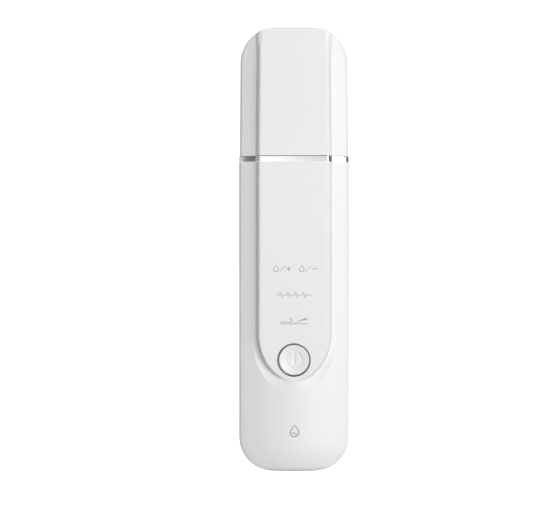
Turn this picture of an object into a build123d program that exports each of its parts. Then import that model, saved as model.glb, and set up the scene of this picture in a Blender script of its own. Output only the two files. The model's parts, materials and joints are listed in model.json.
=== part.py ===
from build123d import *
import math
import os

# Ultrasonic skin scrubber, hand held, with a pull-off cap over a steel spatula blade.
# Frame: millimetres, +Z along the body from the flat base to the cap, -Y is the face with
# the power button, +X is to the right of that face.  Origin: centre of the base.

# ---------------------------------------------------------------- driving dimensions
LENGTH = 180.0          # base to top of the cap
WIDTH = 44.8
DEPTH = 17.0
CORNER = 13.8           # corner radius of the outline seen from the front
BODY_TOP = 125.7        # top edge of the two body shells
RING_TOP = 128.1
CAP_MOUTH = 128.4
PART_Y = 1.6            # plane where front and back shell meet
WALL = 1.8

BAND_HALF = 13.65       # half width of the raised flat band
BAND_FOOT = 15.35       # half width where the band's side wall meets the facet
BAND_STEP = 2.6         # height of that side wall
FACET_SLOPE = 0.46      # facet depth gained per millimetre outwards
SIDE_FILLET = 1.7
BAND_ARC_Z = 55.7       # where the band's sides start to curve into its U end
BAND_DROP = 18.55       # length of the U end
FRONT_POWER = 2.05      # superellipse exponents of the rounded front and back
BACK_POWER = 2.4
ROLL_HEIGHT = 12.0      # height over which front and back roll in to the base
ROLL_RADIUS = 28.0

BUTTON_Z = 45.5
BUTTON_R = 6.12
BEZEL_IN = 6.25
BEZEL_OUT = 6.75
BUTTON_TRAVEL = 0.4
ICON_ROWS = (82.4, 71.85, 61.35)
ICON_SPREAD = 5.3       # half distance between the two marks of the top row

NECK_HALF_W = 15.5      # stadium that the cap slides over
NECK_HALF_D = 4.6
NECK_TOP = 137.0
SLEEVE_GAP = 0.35

BLADE_T = 0.8
BLADE_HALF_W = 12.0
BLADE_TIP_LENGTH = 12.0
BLADE_BEND = 18.0       # degrees
BEND_Z = 160.0

PCB_FRONT = -3.2        # y of the board's front face
PCB_BACK = -2.2
PLATE_BACK = -1.0       # y of the chassis plate's back face
USB_Y = PCB_BACK + 1.63
SCREW_R = 0.8
SCREW_X = 11.8
SCREW_ROWS = (20.0, 84.0)

half_w = WIDTH / 2
half_d = DEPTH / 2


# ---------------------------------------------------------------- shared shapes
def on_front(y):
    """Sketch plane facing the front, at depth y: local x is X, local y is Z."""
    return Plane(origin=(0, y, 0), x_dir=(1, 0, 0), z_dir=(0, -1, 0))


def slab(sheet, y0, y1):
    """Solid between the depths y0 and y1 from a sheet drawn in X and Z."""
    return extrude(on_front(y1) * sheet, y1 - y0)


def block(x0, x1, y0, y1, z0, z1):
    """Box given by its limits along X, Y and Z."""
    size = Box(x1 - x0, y1 - y0, z1 - z0)
    return Pos((x0 + x1) / 2, (y0 + y1) / 2, (z0 + z1) / 2) * size


def rod_y(x, z, radius, y0, y1):
    """Cylinder along Y."""
    return Pos(x, (y0 + y1) / 2, z) * Rot(90, 0, 0) * Cylinder(radius, y1 - y0)


def rod_z(x, y, radius, z0, z1):
    """Cylinder along Z."""
    return Pos(x, y, (z0 + z1) / 2) * Cylinder(radius, z1 - z0)


def stadium(half_x, half_y, z0, z1, y=0.0):
    """Upright prism whose section is a stadium, long along X."""
    section = Plane((0, y, z0)) * SlotOverall(2 * half_x, 2 * half_y)
    return extrude(section, z1 - z0)


def oval_edge(half_x, half_y, power, sign, steps=8):
    """Half a superellipse on the side y * sign > 0: two mirrored splines."""
    points = []
    for k in range(steps + 1):
        turn = math.pi / 2 * k / steps
        x = half_x * abs(math.cos(turn)) ** (2 / power) if k < steps else 0
        points.append((x, sign * half_y * math.sin(turn) ** (2 / power)))
    right = Spline(*points, tangents=[(0, sign), (-1, 0)])
    return [right, mirror(right, Plane.YZ)]


def rounded_section(inset=0.0):
    """Section of the lower body: superellipses front and back."""
    back = oval_edge(half_w - inset, half_d - inset, BACK_POWER, 1)
    front = oval_edge(half_w - inset, half_d - inset, FRONT_POWER, -1)
    return make_face(back + front)


def stepped_section(scale=1.0):
    """Section with the flat band, its two side walls and the two facets."""
    side_y = -half_d + BAND_STEP + FACET_SLOPE * (half_w - BAND_FOOT)
    right = [
        (BAND_HALF, -half_d),
        (BAND_FOOT, -half_d + BAND_STEP),
        (half_w, side_y),
        (half_w, PART_Y),
    ]
    left = [(-x, y) for x, y in reversed(right)]
    front = make_face(Polyline(*right, *left, close=True))
    corners = front.vertices().filter_by(lambda v: abs(v.Y - side_y) < 1e-3)
    front = fillet(corners, SIDE_FILLET)
    rims = front.vertices().filter_by(lambda v: abs(v.Y + half_d) < 1e-3)
    front = fillet(rims, 0.6)
    feet = front.vertices().filter_by(
        lambda v: abs(v.Y + half_d - BAND_STEP) < 1e-3 and abs(abs(v.X) - BAND_FOOT) < 1e-3
    )
    front = fillet(feet, 0.6)
    rear = make_face(oval_edge(half_w, half_d, BACK_POWER, 1) + [Line((half_w, 0), (-half_w, 0))])
    rear -= Rectangle(WIDTH * 2, PART_Y * 2)
    return scale_section(front + rear, scale)


def scale_section(section, factor):
    return section if factor == 1.0 else scale(section, by=factor)


def outline(inset=0.0, top=LENGTH, at_top=False):
    """Prism, through Y, of the rounded outline seen from the front."""
    half = half_w - inset
    radius = CORNER - inset
    low = inset
    high = top - inset if at_top else top + 1
    sheet = Pos(0, (low + high) / 2) * Rectangle(2 * half, high - low)
    rounded = high if at_top else low
    ends = sheet.vertices().filter_by(lambda v: abs(v.Y - rounded) < 1e-3)
    sheet = fillet(ends, radius)
    return slab(sheet, -half_d - 2, half_d + 2)


def roll_limit(inset=0.0):
    """Prism, through X, of the side view: straight, rolled in towards the base."""
    half = half_d - inset
    drop = ROLL_RADIUS - math.sqrt(ROLL_RADIUS ** 2 - ROLL_HEIGHT ** 2)
    mid_drop = ROLL_RADIUS - math.sqrt(ROLL_RADIUS ** 2 - (ROLL_HEIGHT / 2) ** 2)
    low = inset
    side = Plane(origin=(-half_w - 2, 0, 0), x_dir=(0, 1, 0), z_dir=(1, 0, 0))
    right = ThreePointArc(
        (half - drop, 0), (half - mid_drop, ROLL_HEIGHT / 2), (half, ROLL_HEIGHT)
    )
    left = ThreePointArc(
        (-half, ROLL_HEIGHT), (-half + mid_drop, ROLL_HEIGHT / 2), (-half + drop, 0)
    )
    sheet = make_face([
        right,
        Line((half, ROLL_HEIGHT), (half, LENGTH)),
        Line((half, LENGTH), (-half, LENGTH)),
        Line((-half, LENGTH), (-half, ROLL_HEIGHT)),
        left,
        Line((-half + drop, 0), (half - drop, 0)),
    ])
    solid = extrude(side * sheet, WIDTH + 4)
    return solid - block(-half_w - 3, half_w + 3, -half_d, half_d, -1, low) if low else solid


def band_sheet(half, bottom, y):
    """Planform of the band at depth y: straight sides and a half ellipse."""
    arc = EllipticalCenterArc(
        (0, BAND_ARC_Z), half, BAND_ARC_Z - bottom, start_angle=180, arc_size=180
    )
    sides = Polyline((half, BAND_ARC_Z), (half, BODY_TOP), (-half, BODY_TOP), (-half, BAND_ARC_Z))
    return on_front(y) * make_face([arc, sides])


def tube(points, radius, bend):
    """Round wire through the given points with arcs of radius bend."""
    path = FilletPolyline(*points, radius=bend)
    start = Plane(origin=path @ 0, z_dir=path % 0)
    return sweep(start * Circle(radius), path=path)


# ---------------------------------------------------------------- body shells
def facet_cutter(side):
    """Wedge that leaves one facet beside the band and runs out below it."""
    reach = half_w + 2
    foot_y = -half_d + BAND_STEP
    edge_y = foot_y + FACET_SLOPE * (reach - BAND_FOOT)
    front = -half_d - 1

    def wedge(z, foot_depth, edge_depth):
        corners = [
            (side * BAND_FOOT, front),
            (side * BAND_FOOT, foot_depth),
            (side * reach, edge_depth),
            (side * reach, front),
        ]
        return Plane((0, 0, z)) * make_face(Polyline(*corners, close=True))

    full = extrude(wedge(BAND_ARC_Z, foot_y, edge_y), BODY_TOP - BAND_ARC_Z + 1)
    run_out = loft([wedge(40.0, foot_y - 1.0, edge_y - 5.0), wedge(BAND_ARC_Z, foot_y, edge_y)])
    return full + run_out


def body_solid():
    """Both shells in one, solid, before they are hollowed and split."""
    body = extrude(rounded_section(), BODY_TOP)
    for side in (-1, 1):
        body -= facet_cutter(side)
    front = band_sheet(BAND_HALF, BAND_ARC_Z - BAND_DROP, -half_d)
    foot = band_sheet(BAND_FOOT, BAND_ARC_Z - BAND_DROP - 1.0, -half_d + BAND_STEP)
    band = loft([front, foot]) + extrude(foot, -2.0)
    body += band
    return body & outline(top=BODY_TOP) & roll_limit()


def cavity(clearance=0.0):
    """Inside of the body shells."""
    c = clearance
    right = [
        (8.5 - c, -half_d + WALL + c),
        (14.2 - c, -4.8 + c),
        (19.6 - c, -0.5 + c / 2),
        (half_w - WALL - c, PART_Y),
    ]
    left = [(-x, y) for x, y in reversed(right)]
    front = make_face(Polyline(*right, *left, close=True))
    half = half_w - WALL - c
    base = Line((half, 0), (-half, 0))
    rear = make_face(oval_edge(half, half_d - 1.6 - c, BACK_POWER, 1) + [base])
    rear -= Rectangle(WIDTH * 2, PART_Y * 2)
    inside = extrude(front + rear, BODY_TOP + 1)
    inside += block(-12.2 + c, 12.2 - c, -half_d + WALL + c, -4.0, 56.5, BODY_TOP + 1)
    return inside & outline(inset=WALL + c, top=BODY_TOP) & roll_limit(inset=WALL + c)


def seal_strip(clearance=0.0):
    """U-shaped seal that lies in a groove of the back shell's rim."""
    outer = outline(inset=0.75 - clearance, top=BODY_TOP)
    inner = outline(inset=1.35 + clearance, top=BODY_TOP)
    layer = block(-half_w, half_w, PART_Y, PART_Y + 0.8 + clearance, -1, BODY_TOP - 1.0)
    return (outer - inner) & layer


def make_shells():
    body = body_solid()
    hollow = body - cavity()
    front = hollow & block(-half_w - 1, half_w + 1, -half_d - 1, PART_Y, -1, BODY_TOP)
    for x in (-SCREW_X, SCREW_X):
        for z in SCREW_ROWS:
            front += rod_y(x, z, 2.2, -7.0, PCB_FRONT)
            front -= rod_y(x, z, SCREW_R + 0.02, -5.6, PCB_FRONT + 1)
    front -= rod_y(0, BUTTON_Z, BEZEL_OUT, -half_d - 1, -7.3)
    front -= rod_y(0, BUTTON_Z, BEZEL_IN + 0.15, -half_d - 1, -half_d + WALL + 1)
    front -= stadium(4.65, 1.8, -1, WALL + 1, y=USB_Y)
    back = hollow & block(-half_w - 1, half_w + 1, PART_Y, half_d + 1, -1, BODY_TOP)
    back -= seal_strip(0.02)
    return front, back


# ---------------------------------------------------------------- head and cap
def make_ring():
    ring = extrude(Plane((0, 0, BODY_TOP)) * stepped_section(), RING_TOP - BODY_TOP)
    return ring - stadium(NECK_HALF_W, NECK_HALF_D, BODY_TOP - 1, RING_TOP + 1)


def grip_band(clearance=0.0):
    outer = stadium(NECK_HALF_W + 0.25, NECK_HALF_D + 0.25, 131.0, 133.0)
    inner = stadium(NECK_HALF_W - 0.8, NECK_HALF_D - 0.8, 130.0, 134.0)
    return outer - inner


def gasket():
    """Silicone seal that the blade passes through at the neck's top."""
    body = stadium(11.4, 2.6, NECK_TOP - 3.0, NECK_TOP + 0.4)
    return body - block(-9.05, 9.05, -BLADE_T / 2 - 0.02, BLADE_T / 2 + 0.02, 130, 140)


def make_neck():
    plug = cavity(0.15) & block(-half_w, half_w, -half_d, half_d, 117.0, BODY_TOP)
    neck = plug + stadium(NECK_HALF_W, NECK_HALF_D, BODY_TOP, NECK_TOP)
    neck -= stadium(NECK_HALF_W - 1.4, NECK_HALF_D - 1.4, 116.0, NECK_TOP - 4.0)
    neck -= stadium(11.4, 2.6, NECK_TOP - 3.0, NECK_TOP + 1)
    neck -= stadium(10.2, 1.6, 120.0, NECK_TOP)
    neck -= grip_band()
    neck -= rod_z(-18.0, 1.0, 0.6, 116.0, BODY_TOP + 1)
    return neck


def cap_solid(inset=0.0):
    """Outer form of the cap, slightly tapered to its rounded top."""
    mouth = Plane((0, 0, CAP_MOUTH)) * stepped_section(0.987)
    top = Plane((0, 0, LENGTH)) * stepped_section(0.972)
    cap = loft([mouth, top], ruled=True)
    limit = Pos(0, (CAP_MOUTH + LENGTH) / 2) * Rectangle(WIDTH + 2, LENGTH - CAP_MOUTH)
    ends = limit.vertices().filter_by(lambda v: abs(v.Y - LENGTH) < 1e-3)
    return cap & slab(fillet(ends, CORNER + 1.4), -half_d - 2, half_d + 2)


def cap_cavity(clearance=0.0):
    c = clearance

    def section(z, k):
        right = [(12.3, -6.6), (14.0, -4.6), (19.3, -0.6), (20.0, 1.0)]
        right = [(k * x - c, k * y + c) for x, y in right[:3]] + [(k * 20.0 - c, 1.0)]
        left = [(-x, y) for x, y in reversed(right)]
        front = make_face(Polyline(*right, *left, close=True))
        half = k * 20.0 - c
        base = Line((half, 0), (-half, 0))
        rear = make_face(oval_edge(half, k * 6.7 - c, BACK_POWER, 1) + [base])
        rear -= Rectangle(WIDTH * 2, 2.0)
        return Plane((0, 0, z)) * (front + rear)

    inside = loft([section(CAP_MOUTH - 0.5, 1.0), section(LENGTH - 2.0, 0.985)], ruled=True)
    limit = Pos(0, 140) * Rectangle(2 * (half_w - 1), 2 * (LENGTH - 2.0 - 140))
    ends = limit.vertices().filter_by(lambda v: v.Y > 140)
    return inside & slab(fillet(ends, CORNER), -half_d - 2, half_d + 2)


def make_cap():
    return cap_solid() - cap_cavity()


def make_sleeve():
    sleeve = cap_cavity(0.06) & block(-half_w, half_w, -half_d, half_d, CAP_MOUTH + 0.3, 139.0)
    return sleeve - stadium(NECK_HALF_W + SLEEVE_GAP, NECK_HALF_D + SLEEVE_GAP, 120, 140)


# ---------------------------------------------------------------- blade and transducer
def make_blade():
    t = BLADE_T
    flat = make_face(Polyline(
        (6.5, 104), (6.5, 119.5), (9, 120.5), (9, 140), (BLADE_HALF_W, 146), (BLADE_HALF_W, BEND_Z),
        (-BLADE_HALF_W, BEND_Z), (-BLADE_HALF_W, 146), (-9, 140), (-9, 120.5), (-6.5, 119.5),
        (-6.5, 104), close=True,
    ))
    flat = fillet(flat.vertices().filter_by(lambda v: 121 < v.Y < 150), 4.0)
    straight = slab(flat, -t / 2, t / 2)
    radius = 10.0
    angle = math.radians(BLADE_BEND)

    def bent(rho, turn, onward=0.0):
        y = radius - rho * math.cos(turn) + onward * math.sin(turn)
        z = BEND_Z + rho * math.sin(turn) + onward * math.cos(turn)
        return (y, z)

    inner, outer = radius - t / 2, radius + t / 2
    tip_end = bent(radius, angle, BLADE_TIP_LENGTH - 3)
    edge = (tip_end[0] + 0.3 * math.sin(angle), tip_end[1] + 0.3 * math.cos(angle))
    profile = make_face([
        ThreePointArc(bent(inner, 0), bent(inner, angle / 2), bent(inner, angle)),
        Line(bent(inner, angle), bent(inner, angle, BLADE_TIP_LENGTH - 3)),
        Line(bent(inner, angle, BLADE_TIP_LENGTH - 3), edge),
        Line(edge, bent(outer, angle, BLADE_TIP_LENGTH - 4.5)),
        Line(bent(outer, angle, BLADE_TIP_LENGTH - 4.5), bent(outer, angle)),
        ThreePointArc(bent(outer, angle), bent(outer, angle / 2), bent(outer, 0)),
        Line(bent(outer, 0), bent(inner, 0)),
    ])
    side = Plane(origin=(-BLADE_HALF_W, 0, 0), x_dir=(0, 1, 0), z_dir=(1, 0, 0))
    tip = extrude(side * profile, 2 * BLADE_HALF_W)
    shape = Pos(0, BEND_Z) * Rectangle(2 * BLADE_HALF_W, 2 * (tip_end[1] - BEND_Z))
    shape = fillet(shape.vertices().filter_by(lambda v: v.Y > BEND_Z), 4.5)
    tip &= slab(shape, -10, 10)
    blade = straight + tip
    for x in (-4, 4):
        blade -= rod_y(x, 114, 1.0, -3, 3)
    return blade


def make_horn():
    horn = block(-8, 8, -2.3, 2.3, 96, 118)
    horn -= block(-6.52, 6.52, -BLADE_T / 2 - 0.02, BLADE_T / 2 + 0.02, 103.98, 119)
    for x in (-4, 4):
        horn -= rod_y(x, 114, 1.0, -3, 3)
    return horn


def make_blade_pins():
    return Compound([rod_y(x, 114, 0.98, -2.3, 2.3) for x in (-4, 4)])


def damper(z0, z1, pocket_z):
    body = block(-8.9, 8.9, -3.6, 3.6, z0, z1)
    return body - block(-8, 8, -2.3, 2.3, pocket_z, z1 + 1)


def make_clamp():
    plate = block(-14.2, 14.2, 3.7, 4.7, 93, 116.5)
    plate -= block(-5.5, 5.5, 3, 6, 97.5, 112)
    plate -= block(-15, -9, 3, 6, 92, 102) + block(9, 15, 3, 6, 92, 102)
    plate -= block(-15, -9, 3, 6, 110, 120) + block(9, 15, 3, 6, 110, 120)
    for x in (-12.4, 12.4):
        plate -= rod_y(x, 106, SCREW_R + 0.02, 3, 6)
    return plate


def screw(x, z, head_y, length, head_r=1.4, head_t=0.8):
    """Small pan-head screw driven towards -Y, with a cross recess."""
    body = rod_y(x, z, SCREW_R, head_y - length, head_y)
    head = rod_y(x, z, head_r, head_y, head_y + head_t)
    slot = block(x - 0.9, x + 0.9, head_y + head_t - 0.35, head_y + head_t + 1, z - 0.2, z + 0.2)
    cross = block(x - 0.2, x + 0.2, head_y + head_t - 0.35, head_y + head_t + 1, z - 0.9, z + 0.9)
    return body + head - slot - cross


def make_clamp_screws():
    return Compound([screw(x, 106, 4.7, 3.4, 1.3, 0.7) for x in (-12.4, 12.4)])


# ---------------------------------------------------------------- inner frame and electronics
def make_chassis():
    plate = block(-16.2, 16.2, PCB_BACK, PLATE_BACK, 10.5, 91)
    frame = plate + block(-11, 11, -4.9, PLATE_BACK, 89.8, 91)
    frame += block(-11, 11, -4.9, -3.7, 91, 116.5)
    for side in (-1, 1):
        x0, x1 = sorted((side * 9.8, side * 11))
        frame += block(x0, x1, -4.9, 3.6, 91, 116.5)
        x0, x1 = sorted((side * 11, side * 14.2))
        frame += block(x0, x1, 1.2, 3.6, 102.5, 109.5)
        x0, x1 = sorted((side * 14.9, side * 16.2))
        frame += block(x0, x1, PLATE_BACK, 1.2, 24, 78)
    frame += block(-14, 14, PLATE_BACK, 0.6, 24, 25.4)
    frame -= block(-6, 6, -6, -3, 97.5, 112)
    frame -= block(-10, 10, -3, 0, 78.2, 88.8)
    for x in (-SCREW_X, SCREW_X):
        for z in SCREW_ROWS:
            frame -= rod_y(x, z, SCREW_R + 0.02, -3, 0)
    for x in (-12.4, 12.4):
        frame -= rod_y(x, 106, SCREW_R + 0.02, 1.0, 4)
    return frame


def make_chassis_screws():
    spots = [(x, z) for x in (-SCREW_X, SCREW_X) for z in SCREW_ROWS]
    return Compound([screw(x, z, PLATE_BACK, 4.4) for x, z in spots])


def make_pcb():
    board = block(-14.4, 14.4, PCB_FRONT, PCB_BACK, 10, 88) + block(-6.5, 6.5, PCB_FRONT, PCB_BACK, 2.0, 10)
    for x in (-SCREW_X, SCREW_X):
        for z in SCREW_ROWS:
            board -= rod_y(x, z, SCREW_R + 0.02, -4, -1)
    return board


def make_usb_shell():
    z0, z1 = 0.5, 7.8
    return stadium(4.47, 1.63, z0, z1, y=USB_Y) - stadium(4.17, 1.33, z0 - 1, z1 + 1, y=USB_Y)


def make_usb_tongue():
    return stadium(4.15, 1.31, 5.6, 7.8, y=USB_Y) + block(-3.35, 3.35, USB_Y - 0.35, USB_Y + 0.35, 1.2, 5.6)


def make_button():
    face_y = -half_d + 0.05
    body = rod_y(0, BUTTON_Z, BUTTON_R, face_y, -6.0)
    body += rod_y(0, BUTTON_Z, 7.3, -6.6, -6.0)
    body += rod_y(0, BUTTON_Z, 1.5, -6.0, -5.42)
    dish_r, dish_depth = 5.6, 0.5
    sphere_r = (dish_r ** 2 + dish_depth ** 2) / (2 * dish_depth)
    body -= Pos(0, face_y + dish_depth - sphere_r, BUTTON_Z) * Sphere(sphere_r)
    arc = Circle(3.5) - Circle(2.7) - Pos(0, 2.6) * Rectangle(2.6, 3.0)
    symbol = arc + Pos(0, 2.4) * SlotOverall(3.8, 1.0, rotation=90)
    mark = extrude(Plane(origin=(0, face_y + 0.8, BUTTON_Z), x_dir=(1, 0, 0), z_dir=(0, -1, 0)) * symbol, 3)
    return body - mark


def make_bezel():
    ring = rod_y(0, BUTTON_Z, BEZEL_OUT, -half_d, -7.3) - rod_y(0, BUTTON_Z, BEZEL_IN, -9, -7)
    return ring


def make_button_gasket():
    return rod_y(0, BUTTON_Z, 8.4, -6.7, -5.6) - rod_y(0, BUTTON_Z, 7.45, -7, -5)


def make_switch():
    body = block(-3, 3, -4.9, PCB_FRONT, BUTTON_Z - 3, BUTTON_Z + 3)
    return body - rod_y(0, BUTTON_Z, 1.7, -5.5, -3.7)


def make_plunger():
    return rod_y(0, BUTTON_Z, 1.6, -5.4, -4.2)


def icon_spots():
    top, middle, low = ICON_ROWS
    return [(-ICON_SPREAD, top), (ICON_SPREAD, top), (0, middle), (0, low)]


def make_leds():
    spots = icon_spots() + [(4.6, BUTTON_Z + 4.6)]
    return Compound([block(x - 0.8, x + 0.8, -3.9, PCB_FRONT, z - 0.6, z + 0.6) for x, z in spots])


def make_light_guide():
    guide = block(-9.4, 9.4, -5.6, -4.8, 57.5, 85.2)
    for (x, z), half in zip(icon_spots(), (3.8, 3.8, 7.0, 5.5)):
        guide += block(x - half, x + half, -6.65, -5.6, z - 1.8, z + 1.8)
    for x in (-8.5, 8.5):
        for z in (58.4, 84.3):
            guide += rod_y(x, z, 0.8, -4.8, PCB_FRONT)
    return guide


def make_chips():
    return block(-2.5, 2.5, -4.1, PCB_FRONT, 28.5, 33.5)


def make_charger():
    return block(-10, -7, -4.0, PCB_FRONT, 25, 28)


def make_inductor():
    return block(5.5, 10.5, -5.2, PCB_FRONT, 27.5, 32.5)


def make_capacitors():
    spots = [(-9, 14), (-5.5, 14), (5.5, 14), (9, 14)]
    return Compound([block(x - 1.0, x + 1.0, -4.6, PCB_FRONT, z - 1.6, z + 1.6) for x, z in spots])


def make_transformer_core():
    core = block(-7.6, 2.4, PCB_BACK, 3.0, 79.4, 87.8)
    core -= block(-6.2, 1.2, -1.4, 2.2, 79, 80.9) + block(-6.2, 1.2, -1.4, 2.2, 86.3, 89)
    return core


def make_transformer_winding():
    low = block(-6.1, 1.1, -1.3, 2.1, 79.4, 80.9)
    high = block(-6.1, 1.1, -1.3, 2.1, 86.3, 87.8)
    return Compound([low, high])


def make_battery():
    cell = block(-14.4, 14.4, -0.7, 4.7, 26, 76)
    upright = cell.edges().filter_by(Axis.Z)
    return fillet(upright, 1.6)


def make_battery_connector():
    return block(4.2, 8.6, PCB_BACK, 0.4, 80.4, 84.4)


def battery_lead(x):
    return tube([(x, 1.4, 76.0), (x, 1.4, 77.8), (x, -0.9, 78.9), (x, -0.9, 80.4)], 0.5, 0.7)


def make_piezo_lead_front():
    return tube([(2.0, -3.5, 99.2), (2.0, -5.8, 99.2), (2.0, -5.8, 86.6), (2.0, -3.2, 86.6)], 0.4, 0.9)


def make_piezo_lead_back():
    return tube([
        (2.0, 3.5, 99.2), (2.0, 5.4, 99.2), (2.0, 5.4, 89.6),
        (6.4, 5.4, 89.6), (6.4, 5.4, 86.6), (6.4, PCB_BACK, 86.6),
    ], 0.4, 0.9)


def make_ring_lead():
    return tube([
        (-18.0, 1.0, BODY_TOP), (-18.0, 1.0, 86.8), (-9.0, 1.0, 86.8), (-9.0, PCB_BACK, 86.8),
    ], 0.4, 0.9)


def build_parts():
    front, back = make_shells()
    return {
        "front_shell": front,
        "back_shell": back,
        "body_seal": seal_strip(),
        "trim_ring": make_ring(),
        "head_neck": make_neck(),
        "neck_gasket": gasket(),
        "neck_grip_band": grip_band(),
        "cap_shell": make_cap(),
        "cap_sleeve": make_sleeve(),
        "blade": make_blade(),
        "horn_block": make_horn(),
        "blade_pins": make_blade_pins(),
        "piezo_front": block(-6, 6, -3.5, -2.3, 98, 111),
        "piezo_back": block(-6, 6, 2.3, 3.5, 98, 111),
        "damper_lower": damper(92, 97.4, 96),
        "damper_upper": damper(112.6, 116.4, 112),
        "transducer_clamp": make_clamp(),
        "clamp_screws": make_clamp_screws(),
        "chassis": make_chassis(),
        "chassis_screws": make_chassis_screws(),
        "main_pcb": make_pcb(),
        "usb_shell": make_usb_shell(),
        "usb_tongue": make_usb_tongue(),
        "power_button": make_button(),
        "button_bezel": make_bezel(),
        "button_gasket": make_button_gasket(),
        "switch_body": make_switch(),
        "switch_plunger": make_plunger(),
        "indicator_leds": make_leds(),
        "light_guide": make_light_guide(),
        "controller_chip": make_chips(),
        "charger_chip": make_charger(),
        "boost_inductor": make_inductor(),
        "filter_capacitors": make_capacitors(),
        "transformer_core": make_transformer_core(),
        "transformer_winding": make_transformer_winding(),
        "battery_cell": make_battery(),
        "battery_pad": block(-12, 12, PLATE_BACK, -0.7, 30, 72),
        "battery_connector": make_battery_connector(),
        "battery_lead_positive": battery_lead(5.6),
        "battery_lead_negative": battery_lead(7.2),
        "piezo_lead_front": make_piezo_lead_front(),
        "piezo_lead_back": make_piezo_lead_back(),
        "ring_lead": make_ring_lead(),
    }


os.makedirs("parts", exist_ok=True)
for name, shape in build_parts().items():
    export_step(shape, f"parts/{name}.step")
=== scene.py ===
import json
import math

import bmesh
import bpy
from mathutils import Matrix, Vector


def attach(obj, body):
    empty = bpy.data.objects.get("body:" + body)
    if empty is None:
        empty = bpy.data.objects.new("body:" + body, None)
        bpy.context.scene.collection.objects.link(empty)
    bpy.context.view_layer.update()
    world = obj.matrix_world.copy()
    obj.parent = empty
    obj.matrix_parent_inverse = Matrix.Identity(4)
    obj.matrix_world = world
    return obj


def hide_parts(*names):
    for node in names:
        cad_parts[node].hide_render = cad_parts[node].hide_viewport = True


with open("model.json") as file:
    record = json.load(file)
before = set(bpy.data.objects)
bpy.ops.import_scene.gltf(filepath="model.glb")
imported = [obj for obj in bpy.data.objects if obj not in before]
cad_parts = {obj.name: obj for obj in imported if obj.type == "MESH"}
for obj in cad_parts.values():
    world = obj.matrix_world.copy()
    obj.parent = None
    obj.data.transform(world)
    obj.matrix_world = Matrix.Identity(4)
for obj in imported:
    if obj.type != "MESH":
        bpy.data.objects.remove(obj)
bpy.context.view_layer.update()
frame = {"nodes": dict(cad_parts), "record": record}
MM = 0.001

# ------------------------------------------------------------------ measures, in millimetres
LENGTH = 180.0
HALF_W = 22.4
HALF_D = 8.5
FACE = 8.48             # depth of the front plane; prints stand on it, inside the CAD's box
LIFT = 0.012            # height of a print above its surface
CORNER = 13.8           # radius of the outline's corners
PARTING = 1.6           # y of the joint between the front and the back shell
PARTING_KEEP = 0.12     # the front's sides stop this far before that joint
SIDE_R = 1.7            # rounding between a facet and the side
WALL = 1.8
BACK_START = 0.8        # y of the centre of the back's superellipse
BACK_POWER = 2.4        # its exponent
EDGE_R = 1.7            # rounding round the base

RING_LOW, RING_HIGH = 125.7, 128.1
RING_CROWN = 0.10       # height of the crown on each of the ring's facets
RING_FACET = 6.5        # width over which it rises and falls

CAP_LOW = 128.4
CAP_REACH = 0.15        # how far the drawn cap reaches below CAP_LOW, to narrow the gap
CAP_MOUTH_HALF, CAP_TOP_HALF = 22.1, 21.77
CAP_TOP_SIDE_R = 0.8
CAP_ROOF = 2.0
CAP_SHRINK = 0.02       # keeps the cap's skin just inside the CAD's

WALL_MID = 14.5         # middle of the band's side wall
WALL_WIDTH = 1.7
ARC_WALL_THINNER = 0.45     # how much narrower that wall is round the U
BAND_FOOT = 15.35       # half width where the wall meets the facet
FOOT_DEPTH = 2.7
FACET_SLOPE = 0.46
FACET_END = 40.5        # height where the facets start to grow out of the lower body
FACET_BLEND = 13.0
U_CENTRE, U_A, U_B = 55.7, 14.5, 18.55
LEDGE_A, LEDGE_B = 17.3, 24.0
LEDGE_SCOOP = 420.0     # how far the ledge's floor is hollowed; this and the next are given
LEDGE_EASE = 25         # keeps the hollow finite at the middle
WALL_SHARP = 62         # degrees; the walls' feet stay smooth, rims and grooves are sharp
BULGE = 0.0116          # depth of the lower front per square millimetre from the middle

BUTTON_Z = 45.5
DISH_R, DISH_DEPTH = 5.5, 0.75
SYMBOL_DEPTH, SYMBOL_SLOPE = 0.27, 0.22
BUTTON_EDGE, EDGE_START, EDGE_ROUND = 6.14, 5.78, 0.36
BEZEL_SEAT = 6.80
PORT_HALF_X, PORT_HALF_Y, PORT_Y = 4.62, 1.78, -0.57


# ------------------------------------------------------------------ node helpers
def material(name):
    m = bpy.data.materials.new(name)
    m.use_nodes = True
    tree = m.node_tree
    shader = tree.nodes["Principled BSDF"]
    return m, tree, shader


def noise(tree, scale, detail=3.0, stretch=(1, 1, 1), rough=0.5):
    coords = tree.nodes.new("ShaderNodeTexCoord")
    mapping = tree.nodes.new("ShaderNodeMapping")
    mapping.inputs["Scale"].default_value = stretch
    tex = tree.nodes.new("ShaderNodeTexNoise")
    tex.inputs["Scale"].default_value = scale
    tex.inputs["Detail"].default_value = detail
    tex.inputs["Roughness"].default_value = rough
    tree.links.new(coords.outputs["Object"], mapping.inputs["Vector"])
    tree.links.new(mapping.outputs["Vector"], tex.inputs["Vector"])
    return tex


def ramp(tree, source, low, high, a=0.3, b=0.7):
    node = tree.nodes.new("ShaderNodeMapRange")
    node.inputs["From Min"].default_value = a
    node.inputs["From Max"].default_value = b
    node.inputs["To Min"].default_value = low
    node.inputs["To Max"].default_value = high
    tree.links.new(source, node.inputs["Value"])
    return node.outputs["Result"]


def tint(tree, source, dark, light, a=0.3, b=0.7):
    node = tree.nodes.new("ShaderNodeMix")
    node.data_type = "RGBA"
    node.inputs["A"].default_value = (*dark, 1)
    node.inputs["B"].default_value = (*light, 1)
    tree.links.new(ramp(tree, source, 0, 1, a, b), node.inputs["Factor"])
    return node.outputs["Result"]


def bump(tree, shader, source, strength, distance):
    node = tree.nodes.new("ShaderNodeBump")
    node.inputs["Strength"].default_value = strength
    node.inputs["Distance"].default_value = distance
    tree.links.new(source, node.inputs["Height"])
    tree.links.new(node.outputs["Normal"], shader.inputs["Normal"])


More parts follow.
